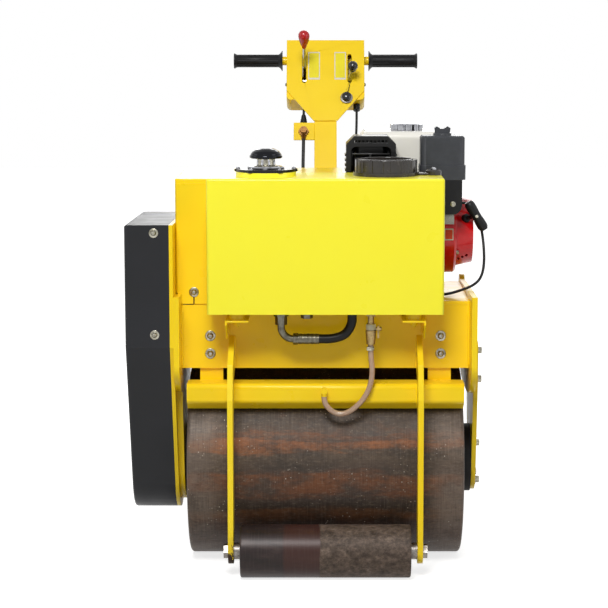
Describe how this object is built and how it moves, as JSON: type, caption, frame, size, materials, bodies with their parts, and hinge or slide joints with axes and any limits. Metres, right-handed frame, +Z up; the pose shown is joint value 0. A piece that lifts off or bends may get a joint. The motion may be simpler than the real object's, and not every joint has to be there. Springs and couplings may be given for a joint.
{
  "type": "walk-behind vibratory roller",
  "caption": "Walk-behind road roller with a wide steel drum, a small front guide roller, a water and oil tank, a petrol engine, a belt cover and a folding handle.",
  "frame": {"origin": "on the floor under the middle of the whole machine's box, cords left out", "axes": "+Z up; +Y back towards the operator's handle; +X towards the engine side"},
  "size_m": [0.7866, 0.8928, 1.1661],
  "materials": {
    "yellow_enamel": "gloss",
    "lemon_enamel": "gloss",
    "charcoal_enamel": "gloss",
    "mill_steel": "matte",
    "roller_steel": "satin",
    "zinc_steel": "satin",
    "chrome_plate": "polished",
    "black_rubber": "matte",
    "black_plastic": "satin",
    "grey_plastic": "satin",
    "cap_plastic": "gloss",
    "red_plastic": "gloss",
    "red_enamel": "gloss",
    "white_enamel": "gloss",
    "black_enamel": "satin",
    "cast_aluminium": "matte",
    "brass": "satin",
    "clear_hose": "gloss"
  },
  "bodies": {
    "chassis": {"air_cleaner": "grey_plastic", "arm_left": "yellow_enamel", "arm_right": "yellow_enamel", "belt_cover": "charcoal_enamel", "breather_cap": "chrome_plate", "breather_clamp": "black_enamel", "breather_neck": "zinc_steel", "carburettor": "cast_aluminium", "cover_plate": "yellow_enamel", "drain_plug": "zinc_steel", "drum_shaft": "zinc_steel", "engine_block": "cast_aluminium", "engine_rails": "zinc_steel", "fan_housing": "red_enamel", "filler_cap": "cap_plastic", "frame_deck": "yellow_enamel", "frame_front_plate": "yellow_enamel", "frame_rear_plate": "yellow_enamel", "front_tank": "lemon_enamel", "fuel_cap": "chrome_plate", "fuel_tank": "white_enamel", "fuel_tank_stays": "black_enamel", "guide_axle": "zinc_steel", "handle_ears": "yellow_enamel", "hanger_right": "yellow_enamel", "hood": "yellow_enamel", "intake_elbow": "grey_plastic", "isolators": "black_rubber", "recoil_handle": "black_plastic", "recoil_starter": "red_enamel", "scraper_front": "yellow_enamel", "scraper_rear": "yellow_enamel", "side_plate_left": "yellow_enamel", "side_plate_right": "yellow_enamel", "silencer": "black_enamel", "silencer_guard": "black_enamel", "stop_cable": "black_rubber", "stop_cable_ends": "black_plastic", "suction_hose": "black_rubber", "suction_pipe": "zinc_steel", "tank_brackets": "yellow_enamel", "tank_pads": "black_rubber", "water_hose": "clear_hose", "water_tap": "brass"},
    "drum": {"drum": "mill_steel"},
    "guide_roller": {"guide_roller": "roller_steel"},
    "handle": {"cable_adjuster": "brass", "cable_boots": "black_rubber", "cable_bracket": "yellow_enamel", "console_box": "yellow_enamel", "console_face": "yellow_enamel", "control_levers": "chrome_plate", "grips": "black_rubber", "handle_arm": "yellow_enamel", "handlebar": "yellow_enamel", "push_knob": "black_plastic", "throttle_cable": "black_rubber", "throttle_knob": "black_plastic", "travel_cable": "black_rubber", "travel_knob": "red_plastic"}
  },
  "joints": [
    {"name": "drum_spin", "type": "hinge", "parent": "chassis", "child": "drum", "pos_m": [0.03372, -0.14998, 0.2125], "axis": [1, 0, 0], "continuous": true},
    {"name": "guide_roller_spin", "type": "hinge", "parent": "chassis", "child": "guide_roller", "pos_m": [0.03372, -0.38942, 0.057], "axis": [1, 0, 0], "continuous": true},
    {"name": "handle_fold", "type": "hinge", "parent": "chassis", "child": "handle", "pos_m": [0.03372, 0.12002, 0.58], "axis": [1, 0, 0], "range_deg": [-32, 24]}
  ]
}
